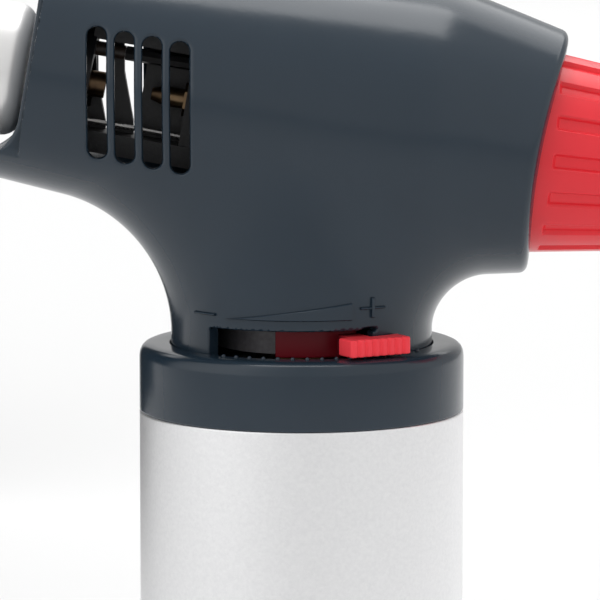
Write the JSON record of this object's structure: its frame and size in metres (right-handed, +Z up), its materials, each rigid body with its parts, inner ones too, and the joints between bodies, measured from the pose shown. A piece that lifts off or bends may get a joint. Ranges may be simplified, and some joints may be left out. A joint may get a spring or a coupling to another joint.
{
  "type": "butane torch",
  "caption": "Hand-held butane torch with an aluminium fuel tank, a tilted moulded head with side vents, a steel burner tube, a push-button igniter and a flame lever",
  "frame": {"origin": "centre of the foot's resting face, on the fuel tank's axis", "axes": "+Z up along the tank, -X towards the burner, +X towards the trigger button, Y across the head's parting plane"},
  "size_m": [0.1432, 0.068, 0.1636],
  "materials": {
    "slate_plastic": "polished moulded plastic",
    "foot_plastic": "fine-textured moulded plastic",
    "black_plastic": "plain moulded plastic",
    "white_plastic": "plain moulded plastic",
    "red_plastic": "semi-gloss moulded plastic",
    "tank_aluminium": "satin, fine bead-blasted and anodised",
    "cap_aluminium": "turned",
    "stainless": "polished spun stainless sheet",
    "spring_steel": "drawn wire and stamped sheet",
    "brass": "turned",
    "rubber": "moulded seal rubber",
    "silicone": "translucent flexible hose",
    "ceramic": "dark glazed ceramic",
    "wire_cover": "flexible insulation"
  },
  "bodies": {
    "torch": {"base_foot": "foot_plastic", "tank_shell": "tank_aluminium", "tank_top_cap": "cap_aluminium", "tank_top_seal": "rubber", "tank_bottom_cap": "cap_aluminium", "tank_bottom_seal": "rubber", "wick_tube": "white_plastic", "refill_valve_body": "brass", "refill_spring": "spring_steel", "collar_ring": "slate_plastic", "head_shell_left": "slate_plastic", "head_shell_right": "slate_plastic", "shell_screws": "spring_steel", "burner_tube": "stainless", "mixing_tube": "brass", "flame_holder": "stainless", "gas_jet": "brass", "jet_holder": "black_plastic", "gas_tube": "silicone", "electrode_insulator": "ceramic", "spark_electrode": "spring_steel", "ignition_wire": "wire_cover", "earth_wire": "spring_steel", "piezo_case": "black_plastic", "piezo_crystal": "ceramic", "piezo_spring": "spring_steel", "valve_body": "brass", "valve_spring": "spring_steel", "valve_nut": "spring_steel", "rocker_bracket": "spring_steel", "rocker_pin": "spring_steel"},
    "refill_valve": {"refill_stem": "brass", "refill_seal": "rubber"},
    "trigger": {"trigger_button": "red_plastic", "piezo_plunger": "white_plastic"},
    "rocker": {"valve_rocker": "black_plastic"},
    "gas_stem": {"valve_stem": "brass", "valve_seal": "rubber"},
    "lever": {"flame_lever": "red_plastic", "flow_adjuster": "black_plastic"}
  },
  "joints": [
    {"name": "trigger_slide", "type": "slide", "parent": "torch", "child": "trigger", "axis": [-0.9848, 0, 0.1736], "range_m": [0, 0.007], "stiffness_N_per_m": 700, "springref_m": -0.006, "deforming": ["piezo_spring"]},
    {"name": "rocker_turn", "type": "hinge", "parent": "torch", "child": "rocker", "pos_m": [0.009, 0, 0.1169], "axis": [0, 1, 0], "range_deg": [0, 8.1]},
    {"name": "gas_stem_lift", "type": "slide", "parent": "torch", "child": "gas_stem", "axis": [0, 0, 1], "range_m": [0, 0.00125], "deforming": ["valve_spring"]},
    {"name": "lever_swing", "type": "hinge", "parent": "torch", "child": "lever", "pos_m": [0, 0, 0.1044], "axis": [0, 0, -1], "range_deg": [0, 60]},
    {"name": "refill_push", "type": "slide", "parent": "torch", "child": "refill_valve", "axis": [0, 0, 1], "range_m": [0, 0.0018], "stiffness_N_per_m": 900, "springref_m": -0.003, "deforming": ["refill_spring"]}
  ],
  "couplings": [
    {"joint": "rocker_turn", "follows": "trigger_slide", "rad_per_m": 19},
    {"joint": "gas_stem_lift", "follows": "trigger_slide", "ratio": 0.171}
  ]
}
